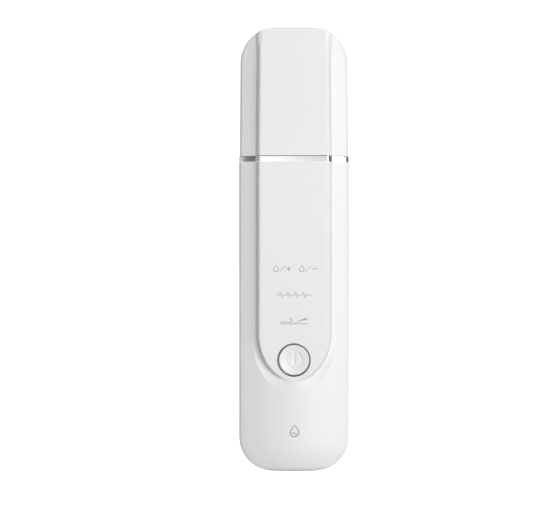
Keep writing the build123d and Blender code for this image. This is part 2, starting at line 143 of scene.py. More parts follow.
def plastic(name, colour, rough=0.42, spread=0.04, specular=0.4, grain=9000, depth=0.00002,
            coat=0.0):
    """Moulded plastic: a very fine spark-eroded grain and slow shifts of tone and gloss."""
    m, tree, shader = material(name)
    slow = noise(tree, 45, 2)
    fine = noise(tree, grain, 2, rough=0.6)
    dark = tuple(c * (1 - spread * 0.35) for c in colour)
    light = tuple(min(1, c * (1 + spread * 0.15)) for c in colour)
    tree.links.new(tint(tree, slow.outputs["Fac"], dark, light), shader.inputs["Base Color"])
    tree.links.new(ramp(tree, slow.outputs["Fac"], rough - spread, rough + spread),
                   shader.inputs["Roughness"])
    shader.inputs["Specular IOR Level"].default_value = specular
    shader.inputs["Coat Weight"].default_value = coat
    shader.inputs["Coat Roughness"].default_value = 0.25
    bump(tree, shader, fine.outputs["Fac"], 0.25, depth)
    return m


def metal(name, colour, rough, brushed=None, spread=0.03, depth=0.000004):
    """Metal; brushed gives the stretch of its scratches along X, Y and Z."""
    m, tree, shader = material(name)
    shader.inputs["Metallic"].default_value = 1.0
    slow = noise(tree, 60, 2)
    if brushed:
        fine = noise(tree, 2500, 3, stretch=brushed)
    else:
        fine = noise(tree, 1500, 2)
    dark = tuple(c * 0.93 for c in colour)
    tree.links.new(tint(tree, fine.outputs["Fac"], dark, colour), shader.inputs["Base Color"])
    tree.links.new(ramp(tree, slow.outputs["Fac"], max(0.02, rough - spread), rough + spread),
                   shader.inputs["Roughness"])
    bump(tree, shader, fine.outputs["Fac"], 0.5 if brushed else 0.12, depth)
    return m


def rubber(name, colour, rough=0.6):
    m, tree, shader = material(name)
    slow = noise(tree, 120, 3)
    fine = noise(tree, 4000, 4)
    dark = tuple(c * 0.85 for c in colour)
    tree.links.new(tint(tree, slow.outputs["Fac"], dark, colour), shader.inputs["Base Color"])
    tree.links.new(ramp(tree, fine.outputs["Fac"], rough - 0.08, rough + 0.1),
                   shader.inputs["Roughness"])
    shader.inputs["Specular IOR Level"].default_value = 0.3
    bump(tree, shader, fine.outputs["Fac"], 0.4, 0.00004)
    return m


# ------------------------------------------------------------------ the outer form
def clamp01(t):
    return max(0.0, min(1.0, t))


def smooth(t):
    t = clamp01(t)
    return t * t * (3 - 2 * t)


def wall_step(t, round_share=0.65):
    """0 to 1 down a bull-nosed wall: a slight edge at its head, ever steeper to a crisp foot."""
    t = clamp01(t)
    cut = 0.95          # share of a quarter circle that the nose uses
    nose = (1 - math.sqrt(1 - (cut * t) ** 2)) / (1 - math.sqrt(1 - cut * cut))
    return (1 - round_share) * t + round_share * nose


def soft_max(a, b, k):
    """The larger of a and b, blended where they are within k of each other."""
    h = max(0.0, k - abs(a - b)) / k
    return max(a, b) + h * h * k * 0.25


def ellipse_gap(x, z, a, b):
    """Signed distance, outwards, from the U: straight sides above, a half ellipse below."""
    if z >= U_CENTRE:
        return abs(x) - a
    dz = U_CENTRE - z
    r = math.hypot(x / a, dz / b)
    if r < 1e-6:
        return -min(a, b)
    grad = math.hypot(x / (a * a), dz / (b * b)) / r
    return (r - 1) / grad


def bulge_depth(x):
    """Depth of the gently crowned lower front."""
    return BULGE * x * x


def facet_depth(x, foot=FOOT_DEPTH):
    return foot + FACET_SLOPE * (abs(x) - BAND_FOOT)


def body_depth(x, z):
    """Depth behind the front plane, before the sides are rounded."""
    lower = bulge_depth(x)
    if z < U_CENTRE + 2:
        dz = max(0.0, U_CENTRE - z)
        r = math.hypot(x / LEDGE_A, dz / LEDGE_B)
        if 1e-6 < r < 1.1:
            rim = bulge_depth(x / r)
            scoop = LEDGE_SCOOP / ((x / r) ** 2 + LEDGE_EASE)
            lower = soft_max(lower, rim * (1 + scoop * (1 - r)), 0.06)
    share = smooth((z - (FACET_END + 0.55 * max(0.0, abs(x) - 10))) / FACET_BLEND)
    outside = lower + (facet_depth(x) - lower) * share
    gap = ellipse_gap(x, z, U_A, U_B)
    width = WALL_WIDTH - ARC_WALL_THINNER * smooth((U_CENTRE + 4 - z) / 10)
    return max(0.0, outside) * wall_step((gap + width / 2) / width)


def cap_depth(x, z):
    """Depth of the cap's front: the band narrows upwards and its walls soften near the top."""
    up = (z - CAP_LOW) / (LENGTH - CAP_LOW)
    fade = smooth((z - 168.5) / 9.0)
    foot = FOOT_DEPTH * (1 - 0.32 * fade)
    width = WALL_WIDTH + 0.9 * fade
    t = (abs(x) - (WALL_MID - 0.45 * up) + width / 2) / width
    return facet_depth(x, foot) * wall_step(t, 0.65 - 0.3 * fade)


def ring_depth(x):
    """As the body, with the facets slightly crowned, so that they mirror a soft gradient."""
    across = clamp01((abs(x) - BAND_FOOT) / RING_FACET)
    crown = RING_CROWN * (1 - (2 * across - 1) ** 2)
    step = wall_step((abs(x) - WALL_MID + WALL_WIDTH / 2) / WALL_WIDTH)
    return (facet_depth(x) - crown) * step


def corner_half(z, half, low=None, high=None, radius=CORNER):
    """Half width of a form with rounded corners at its low or high end."""
    cut = 0.0
    if low is not None and z < low + radius:
        cut = radius - math.sqrt(max(0.0, radius ** 2 - (low + radius - z) ** 2))
    if high is not None and z > high - radius:
        cut = radius - math.sqrt(max(0.0, radius ** 2 - (z - high + radius) ** 2))
    return half - cut


def half_columns():
    """Nominal x of the columns from the middle to the side, closest where the walls are."""
    xs = [0.9 * k for k in range(8)]
    for end, step in ((12.4, 0.3), (15.8, 0.14), (20.6, 0.3)):
        while xs[-1] < end:
            xs.append(xs[-1] + step)
    start = math.acos(1 - (HALF_W - xs[-1]) / SIDE_R)
    n = 12
    for k in range(1, n + 1):
        xs.append(HALF_W - SIDE_R * (1 - math.cos(start * (1 - k / n))))
    return xs


COLUMNS = half_columns()


def front_points(half, depth, roll=0.0, trim=0.0, side_r=SIDE_R):
    """(x, y) from the middle to the side. trim draws the whole edge in."""
    w = half - trim
    edge = w - side_r * 0.44        # first guess of where the rounding starts
    step = 0.05
    for _ in range(3):
        slope = (depth(edge) - depth(edge - step)) / step
        angle = math.atan(slope)
        edge = w - side_r * (1 - math.sin(angle))
    centre_x = w - side_r
    centre_d = depth(edge) + side_r * math.cos(angle)
    front = -FACE + roll + trim
    points = []
    for nominal in COLUMNS:
        x = nominal * w / HALF_W
        if x <= edge:
            d = depth(x)
        else:
            d = centre_d - math.sqrt(max(0.0, side_r ** 2 - (x - centre_x) ** 2))
        points.append((x, min(front + d, PARTING - PARTING_KEEP)))
    return points


def inner_points(half, corners, roll=0.0):
    """(x, y) of the hollow's front side, along straight runs between its corners."""
    points = []
    for nominal in COLUMNS:
        x = nominal * half / HALF_W
        y = corners[0][1]
        for (x0, y0), (x1, y1) in zip(corners, corners[1:]):
            if x > x0:
                y = y0 + (y1 - y0) * min(1.0, (x - x0) / (x1 - x0))
        points.append((x, min(y + roll, PARTING - PARTING_KEEP)))
    return points


def back_points(half, roll=0.0, trim=0.0, thick=0.0, n=24):
    """(x, y) from the side at the parting line round to the middle of the back."""
    w = half - trim
    depth = HALF_D - BACK_START - roll - trim - thick
    points = []
    start = math.asin(((PARTING - BACK_START) / depth) ** (BACK_POWER / 2))
    for k in range(n + 1):
        t = start + (math.pi / 2 - start) * k / n
        x = w * abs(math.cos(t)) ** (2 / BACK_POWER) if k < n else 0.0
        points.append((x, BACK_START + depth * math.sin(t) ** (2 / BACK_POWER)))
    return points


def mesh_object(name, verts, faces, mat, sharp=30):
    """Object from points in millimetres, with outward normals and its sharp edges marked."""
    mesh = bpy.data.meshes.new(name)
    mesh.from_pydata([Vector(v) * MM for v in verts], [], faces)
    mesh.validate()
    bm = bmesh.new()
    bm.from_mesh(mesh)
    bmesh.ops.remove_doubles(bm, verts=bm.verts, dist=1e-7)
    bmesh.ops.recalc_face_normals(bm, faces=bm.faces)
    bm.to_mesh(mesh)
    bm.free()
    obj = bpy.data.objects.new(name, mesh)
    bpy.context.scene.collection.objects.link(obj)
    if mat:
        mesh.materials.append(mat)
    shade(obj, sharp)
    return obj


def shade(obj, sharp=30):
    """Smooth shading, with edges over sharp degrees kept crisp."""
    for p in obj.data.polygons:
        p.use_smooth = True
    bm = bmesh.new()
    bm.from_mesh(obj.data)
    limit = math.radians(sharp)
    for e in bm.edges:
        e.smooth = len(e.link_faces) == 2 and e.calc_face_angle(0.0) < limit
    bm.to_mesh(obj.data)
    bm.free()


def mirrored(points):
    """Points from the middle outwards, extended over both sides, from -X to +X."""
    return [(-x, y) for x, y in reversed(points)] + points[1:]


def body_roll(z, height=12.0, radius=28.0):
    """How far front and back draw in towards the base."""
    if z >= height:
        return 0.0
    return radius - math.sqrt(radius ** 2 - (height - z) ** 2)


def body_rows():
    """(height, inset) of every row of the body, from the base up."""
    r = EDGE_R
    rows = []
    for k in range(8):
        a = math.pi / 2 * k / 7
        rows.append((r * (1 - math.cos(a)), r * (1 - math.sin(a))))
    b = math.acos(1 - r / CORNER)
    turn = 0.06
    while b < math.pi / 2 - turn:
        b += turn
        rows.append((CORNER * (1 - math.cos(min(b, math.pi / 2))), 0.0))
    z = rows[-1][0]
    for end, step in ((34.5, 1.4), (58.5, 0.2), (RING_LOW - 3, 2.6)):   # closest round the U
        while z < end:
            z += step
            rows.append((z, 0.0))
    rows += [(RING_LOW - 0.12, 0.0), (RING_LOW - 0.03, 0.03), (RING_LOW, 0.1)]
    return rows


def shell_from(outer, inner, closed_low):
    """Closed shell from two equal grids of rows; the low end is filled if closed_low."""
    rows, cols = len(outer), len(outer[0])
    verts = [p for row in outer for p in row] + [p for row in inner for p in row]
    faces = []
    base = rows * cols

    def o(i, j):
        return i * cols + j

    def n(i, j):
        return base + i * cols + j

    for i in range(rows - 1):
        for j in range(cols - 1):
            faces.append((o(i, j), o(i, j + 1), o(i + 1, j + 1), o(i + 1, j)))
            faces.append((n(i, j), n(i + 1, j), n(i + 1, j + 1), n(i, j + 1)))
        for j in (0, cols - 1):
            faces.append((o(i, j), o(i + 1, j), n(i + 1, j), n(i, j)))
    for j in range(cols - 1):
        faces.append((o(rows - 1, j), o(rows - 1, j + 1), n(rows - 1, j + 1), n(rows - 1, j)))
    if closed_low:
        faces.append(tuple(o(0, j) for j in range(cols)))
        faces.append(tuple(n(0, j) for j in reversed(range(cols))))
        faces.append((o(0, 0), o(0, cols - 1), n(0, cols - 1), n(0, 0)))
    return verts, faces


def tube_from(outer, inner):
    """Closed cup from two equal grids of closed loops; the first row is the open mouth."""
    rows, cols = len(outer), len(outer[0])
    verts = [p for row in outer for p in row] + [p for row in inner for p in row]
    base = rows * cols
    faces = []
    for i in range(rows - 1):
        for j in range(cols):
            k = (j + 1) % cols
            faces.append((i * cols + j, i * cols + k, (i + 1) * cols + k, (i + 1) * cols + j))
            faces.append((base + i * cols + j, base + (i + 1) * cols + j,
                          base + (i + 1) * cols + k, base + i * cols + k))
    for j in range(cols):
        k = (j + 1) % cols
        faces.append((j, base + j, base + k, k))
    top = (rows - 1) * cols
    faces.append(tuple(top + j for j in range(cols)))
    faces.append(tuple(base + top + j for j in reversed(range(cols))))
    return verts, faces


def cut(obj, *cutters):
    """Takes closed cutter meshes out of obj and marks its sharp edges again."""
    for c in cutters:
        mod = obj.modifiers.new("cut", "BOOLEAN")
        mod.operation = "DIFFERENCE"
        mod.solver = "EXACT"
        mod.object = c
    bpy.context.view_layer.update()
    graph = bpy.context.evaluated_depsgraph_get()
    mesh = bpy.data.meshes.new_from_object(obj.evaluated_get(graph))
    obj.modifiers.clear()
    old = obj.data
    obj.data = mesh
    bpy.data.meshes.remove(old)
    for c in cutters:
        bpy.data.objects.remove(c)
    shade(obj, WALL_SHARP)
    return obj


def prism_mesh(name, loop, direction, start, end):
    """Closed prism from a loop of 2-D points; direction 'y' or 'z'."""
    def place(p, t):
        return (p[0], t, p[1]) if direction == "y" else (p[0], p[1], t)

    n = len(loop)
    verts = [place(p, start) for p in loop] + [place(p, end) for p in loop]
    faces = [(i, (i + 1) % n, n + (i + 1) % n, n + i) for i in range(n)]
    faces += [tuple(range(n)), tuple(reversed(range(n, 2 * n)))]
    return mesh_object(name, verts, faces, None)


def circle_loop(cx, cy, r, n=128):
    return [(cx + r * math.cos(2 * math.pi * k / n), cy + r * math.sin(2 * math.pi * k / n))
            for k in range(n)]


def stadium_loop(half_x, half_y, cy=0.0, n=24):
    loop = []
    straight = half_x - half_y
    for k in range(n + 1):
        a = -math.pi / 2 + math.pi * k / n
        loop.append((straight + half_y * math.cos(a), cy + half_y * math.sin(a)))
    for k in range(n + 1):
        a = math.pi / 2 + math.pi * k / n
        loop.append((-straight + half_y * math.cos(a), cy + half_y * math.sin(a)))
    return loop


# ------------------------------------------------------------------ finishes
white = plastic("white_abs", (0.80, 0.802, 0.806), rough=0.40, spread=0.03, specular=0.35)
white_cap = plastic("white_abs_cap", (0.80, 0.802, 0.806), rough=0.39, spread=0.03,
                    specular=0.35)
button_white = plastic("button_abs", (0.80, 0.802, 0.806), rough=0.30, spread=0.02, grain=12000)
chrome = metal("polished_plating", (0.80, 0.80, 0.81), 0.12, spread=0.02, depth=0.000001)
# the bezel is chrome trim; its dark colour is a painted reflection of dark surroundings, not the
# plating's own tone
bezel_painted_dark = metal("chrome_painted_dark_reflection", (0.13, 0.132, 0.138), 0.30, spread=0.03, depth=0.000001)
steel = metal("brushed_blade_steel", (0.63, 0.62, 0.61), 0.26, brushed=(1.0, 1.0, 0.03))
print_grey = plastic("pad_print_grey", (0.40, 0.405, 0.41), rough=0.55, spread=0.05, grain=16000)


# ------------------------------------------------------------------ body shells
# corners (x, y) of the hollows' front side, from the middle outwards
BODY_HOLLOW = ((8.5, -6.68), (14.2, -4.8), (19.6, -0.5), (20.4, 1.5))
CAP_HOLLOW = ((12.3, -6.6), (14.0, -4.6), (19.3, -0.6), (20.0, 1.0))
GROOVE = 0.1            # half width of the parting line's groove, and its depth


def joined(front, back, height):
    """One closed loop in space from the right half of a front and of a back."""
    loop = mirrored(front) + back + [(-x, y) for x, y in reversed(back[:-1])]
    return [(x, y, height) for x, y in loop]


def body_halves():
    """The front and the back shell, each a closed hollow skin with half of the groove."""
    fronts, fronts_in, backs, backs_in = [], [], [], []
    for z, trim in body_rows():
        front = front_points(corner_half(z, HALF_W, low=0.0), lambda x: body_depth(x, z),
                             body_roll(z), trim)
        back = back_points(corner_half(z, HALF_W, low=0.0), body_roll(z), trim)
        seam = back[0][0]
        line = front + [(seam, PARTING - GROOVE), (seam - GROOVE, PARTING - 0.01)]
        fronts.append([(x, y, z) for x, y in mirrored(line)])
        line = [(seam - GROOVE, PARTING + 0.01), (seam, PARTING + GROOVE)] + back[1:]
        line += [(-x, y) for x, y in reversed(line[:-1])]
        backs.append([(x, y, z) for x, y in line])

        z = WALL + z * (RING_LOW - WALL) / RING_LOW
        half = corner_half(z, HALF_W - WALL, low=WALL, radius=CORNER - WALL)
        front = inner_points(half, BODY_HOLLOW, body_roll(z))
        back = back_points(half, body_roll(z), thick=WALL)
        seam = back[0][0]
        line = front + [(seam, PARTING - GROOVE), (seam, PARTING - 0.01)]
        fronts_in.append([(x, y, z) for x, y in mirrored(line)])
        line = [(seam, PARTING + 0.01), (seam, PARTING + GROOVE)] + back[1:]
        line += [(-x, y) for x, y in reversed(line[:-1])]
        backs_in.append([(x, y, z) for x, y in line])
    front = mesh_object("front_shell_moulding", *shell_from(fronts, fronts_in, True), white,
                        WALL_SHARP)
    back = mesh_object("back_shell_moulding", *shell_from(backs, backs_in, True), white)
    return front, back


front_shell, back_shell = body_halves()
cut(front_shell,
    prism_mesh("cut_button", circle_loop(0, BUTTON_Z, BEZEL_SEAT), "y", -9.5, -5.0),
    prism_mesh("cut_port", stadium_loop(PORT_HALF_X, PORT_HALF_Y, PORT_Y), "z", -1.0, 2.6))


# ------------------------------------------------------------------ trim ring
def neck_hole(x, y, half_x=15.5, half_y=4.6):
    """Point of the neck's stadium in the direction of (x, y)."""
    straight = half_x - half_y
    if abs(x) * half_y < straight * abs(y):
        return x * half_y / abs(y), math.copysign(half_y, y)
    a = x * x + y * y
    b = -2 * abs(x) * straight
    c = straight ** 2 - half_y ** 2
    t = (-b + math.sqrt(b * b - 4 * a * c)) / (2 * a)
    return x * t, y * t


def ring_piece():
    """The trim ring. Rows close to its rims keep their rounding off the flat stretch between."""
    rows = [(RING_LOW + 0.02, 0.12), (RING_LOW + 0.05, 0.03), (RING_LOW + 0.12, 0.0),
            (RING_LOW + 0.2, 0.0), (RING_HIGH - 0.2, 0.0), (RING_HIGH - 0.12, 0.0),
            (RING_HIGH - 0.05, 0.02), (RING_HIGH - 0.01, 0.07), (RING_HIGH, 0.15)]
    outer = []
    for z, trim in rows:
        front = front_points(HALF_W, ring_depth, 0.0, trim)
        outer.append(joined(front, back_points(HALF_W, 0.0, trim), z))
    hole = [neck_hole(x, y) for x, y, _ in outer[3]]
    low = [(x, y, rows[0][0]) for x, y in hole]
    high = [(x, y, rows[-1][0]) for x, y in hole]
    loops = [low] + outer + [high]
    n = len(hole)
    verts = [p for loop in loops for p in loop]
    faces = []
    for i in range(len(loops)):
        after = (i + 1) % len(loops)
        for j in range(n):
            k = (j + 1) % n
            faces.append((i * n + j, i * n + k, after * n + k, after * n + j))
    return mesh_object("trim_ring_polished", verts, faces, chrome, WALL_SHARP)


trim_ring = ring_piece()


# ------------------------------------------------------------------ cap
def cap_rows(r=0.6):
    """(height, inset) of every row of the cap, from its mouth up to its rounded top edge."""
    rows = [(CAP_LOW - CAP_REACH, 0.1), (CAP_LOW - 0.12, 0.03), (CAP_LOW, 0.0), (CAP_LOW + 0.3, 0.0)]
    while rows[-1][0] < LENGTH - CORNER - 2:
        rows.append((rows[-1][0] + 2.0, 0.0))
    turns = 52
    limit = math.asin((CORNER - r) / CORNER)
    for k in range(turns + 1):
        rows.append((LENGTH - CORNER + CORNER * math.sin(limit * k / turns), 0.0))
    for k in range(1, 7):
        a = math.pi / 2 * k / 6
        rows.append((LENGTH - r * (1 - math.sin(a)), r * (1 - math.cos(a))))
    return rows


def cap_piece():
    """The cap as one closed cup, open at its mouth."""
    outer, inner = [], []
    inside_top = LENGTH - CAP_ROOF
    for z, trim in cap_rows():
        up = (z - CAP_LOW) / (LENGTH - CAP_LOW)
        half = CAP_MOUTH_HALF + (CAP_TOP_HALF - CAP_MOUTH_HALF) * up
        half = corner_half(z, half, high=LENGTH)
        turn = clamp01((z - LENGTH + CORNER) / CORNER)
        side = SIDE_R + (CAP_TOP_SIDE_R - SIDE_R) * math.asin(turn) / (math.pi / 2)
        front = front_points(half, lambda x: cap_depth(x, z), 0.0, trim + CAP_SHRINK, side)
        outer.append(joined(front, back_points(half, 0.0, trim + CAP_SHRINK), z))
        z = CAP_LOW + up * (inside_top - CAP_LOW)
        half = corner_half(z, CAP_HOLLOW[-1][0] - 0.3 * up, high=inside_top,
                           radius=CORNER - WALL)
        inner.append(joined(inner_points(half, CAP_HOLLOW), back_points(half, thick=WALL), z))
    return mesh_object("cap_moulding", *tube_from(outer, inner), white_cap, WALL_SHARP)


cap = cap_piece()


# ------------------------------------------------------------------ button and bezel
def power_symbol(x, z):
    """Distance outwards from the edge of the sunk power symbol, middle of the button at 0, 0."""
    r = math.hypot(x, z)
    turn = math.atan2(x, z)
    radius, gap = 3.1, 0.56         # of the arc, and half the angle left open at its top
    if abs(turn) > gap:
        arc = abs(r - radius)
    else:
        ex, ez = radius * math.sin(gap), radius * math.cos(gap)
        arc = math.hypot(abs(x) - ex, z - ez)
    bar = math.hypot(x, z - max(-1.2, min(3.6, z)))
    return min(arc - 0.43, bar - 0.5)


def button_ring(r, y, n):
    """Circle of n points about the button's axis."""
    return [(r * math.sin(2 * math.pi * k / n), y, BUTTON_Z + r * math.cos(2 * math.pi * k / n))
            for k in range(n)]


def button_piece():
    """The button: a dished face with the sunk symbol, a rounded edge and a closed skirt."""
    face = 0.06 - FACE
    rings = [0.12 * k for k in range(1, 49)]
    rings += [5.84, 5.92, 6.0, 6.07, 6.12, BUTTON_EDGE]
    n = 216
    verts = [(0.0, face + (DISH_DEPTH + SYMBOL_DEPTH), BUTTON_Z)]
    for r in rings:
        for k in range(n):
            a = 2 * math.pi * k / n
            x, z = r * math.sin(a), r * math.cos(a)
            dish = DISH_DEPTH * (1 - (r / DISH_R) ** 2) if r < DISH_R else 0.0
            dish *= smooth((5.9 - r) / 0.9) if r > 5.0 else 1.0
            round_off = 0.0
            if r > EDGE_START:
                q = min(1.0, (r - EDGE_START) / EDGE_ROUND)
                round_off = EDGE_ROUND * (1 - math.sqrt(max(0.0, 1 - q * q)))
            sunk = SYMBOL_DEPTH * smooth(0.5 - power_symbol(x, z) / SYMBOL_SLOPE)
            verts.append((x, face + dish + round_off + sunk, BUTTON_Z + z))
    faces = [(0, 1 + (k + 1) % n, 1 + k) for k in range(n)]
    for i in range(len(rings) - 1):
        for k in range(n):
            a, b = 1 + i * n, 1 + (i + 1) * n
            j = (k + 1) % n
            faces.append((a + k, a + j, b + j, b + k))
    start = 1 + (len(rings) - 1) * n
    skirt = [(BUTTON_EDGE, -6.6), (7.3, -6.6), (7.3, -6.0), (1.5, -6.0), (1.5, -5.42)]
    previous = start
    for r, y in skirt:
        here = len(verts)
        verts += button_ring(r, y, n)
        for k in range(n):
            j = (k + 1) % n
            faces.append((previous + k, previous + j, here + j, here + k))
        previous = here
    faces.append(tuple(previous + k for k in range(n)))
    return mesh_object("power_button_cap", verts, faces, button_white, sharp=50)


def bezel_piece():
    """The bezel, turned from its closed profile of (radius, y)."""
    profile = [(6.24, -7.3), (6.24, -8.34), (6.27, -8.42), (6.34, -8.47), (6.5, -8.485),
               (6.66, -8.47), (6.73, -8.42), (6.76, -8.34), (6.76, -7.3)]
    n = 160
    verts, faces = [], []
    for r, y in profile:
        verts += button_ring(r, y, n)
    m = len(profile)
    for i in range(m):
        for k in range(n):
            j = (k + 1) % n
            a, b = i * n, ((i + 1) % m) * n
            faces.append((a + k, a + j, b + j, b + k))
    return mesh_object("button_bezel_ring", verts, faces, bezel_painted_dark, sharp=50)


button = button_piece()
bezel = bezel_piece()


# ------------------------------------------------------------------ prints
def stroke(points, width, closed=False):
    """Flat ribbon along 2-D points, as a list of quads."""
    n = len(points)
    left, right = [], []
    for i, (x, z) in enumerate(points):
        if closed:
            a, b = points[i - 1], points[(i + 1) % n]
        else:
            a, b = points[max(0, i - 1)], points[min(n - 1, i + 1)]
        dx, dz = b[0] - a[0], b[1] - a[1]
        size = math.hypot(dx, dz) or 1.0
        nx, nz = -dz / size * width / 2, dx / size * width / 2
        left.append((x + nx, z + nz))
        right.append((x - nx, z - nz))
    last = n if closed else n - 1
    return [(left[i], left[(i + 1) % n], right[(i + 1) % n], right[i]) for i in range(last)]


def drop(cx, cz, width, height, n=28):
    """Outline of a water drop."""
    r = width / 2
    base = cz - height / 2 + r
    tip = cz + height / 2
    rise = tip - base
    angle = math.acos(r / rise)
    points = [(cx, tip)]
    start = math.pi / 2 - angle
    for k in range(n + 1):
        a = start - (2 * math.pi - 2 * angle) * k / n
        points.append((cx + r * math.cos(a), base + r * math.sin(a)))
    return points


def disc(cx, cz, r, n=14):
    """Filled dot, as a fan of triangles."""
    ring = [(cx + r * math.cos(2 * math.pi * k / n), cz + r * math.sin(2 * math.pi * k / n))
            for k in range(n)]
    return [((cx, cz), ring[k], ring[(k + 1) % n]) for k in range(n)]


def print_piece(name, shapes, depth):
    """Ink printed on the front: a closed skin whose underside lies in the plastic."""
    verts, faces = [], []
    for face in shapes:
        faces.append(tuple(range(len(verts), len(verts) + len(face))))
        verts += [(x, -FACE - LIFT + depth(x, z), z) for x, z in face]
    obj = mesh_object(name, verts, faces, print_grey)
    bm = bmesh.new()
    bm.from_mesh(obj.data)
    for f in bm.faces:
        if f.normal.y > 0:
            f.normal_flip()
    top = list(bm.faces)
    made = bmesh.ops.extrude_face_region(bm, geom=top)
    lower = [v for v in made["geom"] if isinstance(v, bmesh.types.BMVert)]
    bmesh.ops.translate(bm, verts=lower, vec=(0, 3 * LIFT * MM, 0))
    bmesh.ops.recalc_face_normals(bm, faces=bm.faces)
    bm.to_mesh(obj.data)
    bm.free()
    shade(obj)
    return obj


def mode_icons():
    """Three rows of plain pictograms: ions in and out, a pulse, and a blade lifting a layer."""
    top, middle, low = 82.4, 71.85, 61.35
    w, sign_w = 0.34, 0.38
    shapes = []
    for cx, plus in ((-4.9, True), (5.6, False)):
        shapes += stroke(drop(cx - 2.4, top + 0.1, 1.9, 2.6), w, closed=True)
        shapes += disc(cx - 0.55, top - 0.65, 0.30) + disc(cx + 0.25, top + 0.1, 0.30)
        shapes += disc(cx + 1.05, top + 0.85, 0.30)
        px = cx + 2.75
        shapes += stroke([(px - 0.85, top), (px + 0.85, top)], sign_w)
        if plus:
            shapes += stroke([(px, top - 0.85), (px, top + 0.85)], sign_w)
    line = [(-7.0, 0.0), (-6.0, 0.0)]
    for k in range(4):
        x = -6.0 + 3.1 * k
        line += [(x + 0.45, 1.15), (x + 1.2, -1.15), (x + 1.7, 0.0), (x + 3.1, 0.0)]
    line[-1] = (7.0, 0.0)
    shapes += stroke([(x, middle + z) for x, z in line], w)
    shapes += stroke([(-5.4, low - 1.15), (5.5, low - 1.15)], w)
    layer = [(-5.4, -0.45), (-1.6, -0.45)]
    for k in range(1, 13):
        a = -math.pi / 2 + math.pi * 1.25 * k / 12
        layer.append((-1.6 + 0.75 * math.cos(a), 0.3 + 0.75 * math.sin(a)))
    shapes += stroke([(x, low + z) for x, z in layer], w)
    shapes += [((0.1, low - 0.75), (5.4, low + 0.55), (5.4, low + 1.2), (4.6, low + 1.2))]
    return print_piece("mode_icons", shapes, lambda x, z: 0.0)


def small_mark():
    """A generic drop with a wave in it."""
    shapes = stroke(drop(0.25, 16.9, 3.4, 4.7, 36), 0.55, closed=True)
    wave = [(-0.75 + 0.2 * k, 15.9 + 0.28 * math.sin(k * 0.63)) for k in range(11)]
    shapes += stroke(wave, 0.45)
    return print_piece("drop_mark", shapes, body_depth)


icons = mode_icons()
mark = small_mark()


# ------------------------------------------------------------------ finishes of the CAD parts
def printed_board(name):
    """Solder mask with buried copper tracks showing through as slow square patches."""
    m, tree, shader = material(name)
    coords = tree.nodes.new("ShaderNodeTexCoord")
    tracks = tree.nodes.new("ShaderNodeTexBrick")
    tracks.inputs["Scale"].default_value = 420
    tracks.inputs["Mortar Size"].default_value = 0.04
    tracks.inputs["Color1"].default_value = (0.012, 0.10, 0.045, 1)
    tracks.inputs["Color2"].default_value = (0.016, 0.13, 0.06, 1)
    tracks.inputs["Mortar"].default_value = (0.03, 0.20, 0.09, 1)
    tree.links.new(coords.outputs["Object"], tracks.inputs["Vector"])
    tree.links.new(tracks.outputs["Color"], shader.inputs["Base Color"])
    grain = noise(tree, 3000, 2)
    tree.links.new(ramp(tree, grain.outputs["Fac"], 0.3, 0.42), shader.inputs["Roughness"])
    return m


def wound_wire(name):
    """Fine enamelled turns, lying across the winding's axis."""
    m, tree, shader = material(name)
    coords = tree.nodes.new("ShaderNodeTexCoord")
    turns = tree.nodes.new("ShaderNodeTexWave")
    turns.bands_direction = "Z"
    turns.inputs["Scale"].default_value = 900
    turns.inputs["Distortion"].default_value = 0.6
    tree.links.new(coords.outputs["Object"], turns.inputs["Vector"])
    tree.links.new(tint(tree, turns.outputs["Fac"], (0.32, 0.11, 0.04), (0.75, 0.36, 0.16)),
                   shader.inputs["Base Color"])
    shader.inputs["Metallic"].default_value = 0.85
    shader.inputs["Roughness"].default_value = 0.32
    bump(tree, shader, turns.outputs["Fac"], 0.6, 0.00005)
    return m


FINISHES = {
    "shell_white": white,
    "cap_white": white_cap,
    "chrome_trim": chrome,
    "blade_steel": steel,
    "horn_aluminium": metal("machined_aluminium", (0.72, 0.73, 0.74), 0.3, (0.02, 1, 1)),
    "steel_small": metal("plated_steel", (0.56, 0.57, 0.60), 0.24),
    "piezo_ceramic": plastic("silvered_ceramic", (0.42, 0.38, 0.30), rough=0.5, spread=0.2),
    "damper_rubber": rubber("dark_silicone", (0.03, 0.032, 0.035)),
    "seal_silicone": rubber("pale_silicone", (0.58, 0.59, 0.60), rough=0.5),
    "frame_plastic": plastic("grey_abs", (0.07, 0.073, 0.078), rough=0.5, spread=0.1),
    "neck_plastic": plastic("neck_abs", (0.66, 0.665, 0.67), rough=0.42, spread=0.06),
    "board": printed_board("solder_mask"),
    "chip": plastic("epoxy_black", (0.012, 0.012, 0.014), rough=0.45, spread=0.1),
    "ferrite": rubber("ferrite_dark", (0.022, 0.022, 0.024), rough=0.55),
    "copper": wound_wire("copper_turns"),
    "guide_clear": plastic("frosted_acrylic", (0.80, 0.83, 0.86), rough=0.22, spread=0.05),
    "led": plastic("amber_resin", (0.80, 0.70, 0.30), rough=0.15, spread=0.05, coat=0.6),
    "battery_foil": metal("pouch_foil", (0.66, 0.67, 0.69), 0.3),
    "pad_foam": rubber("foam_tape", (0.045, 0.045, 0.048), rough=0.85),
    "connector": plastic("cream_nylon", (0.72, 0.68, 0.57), rough=0.4, spread=0.08),
    "lead_red": plastic("red_insulation", (0.36, 0.012, 0.010), rough=0.3, spread=0.1),
    "lead_black": plastic("black_insulation", (0.01, 0.01, 0.011), rough=0.3, spread=0.1),
    "lead_white": plastic("white_insulation", (0.68, 0.68, 0.66), rough=0.3, spread=0.1),
}

for part in frame["record"]["subparts"]:
    node = frame["nodes"][part["node"]]
    node.data.materials.clear()
    node.data.materials.append(FINISHES[part["material_slot"]])


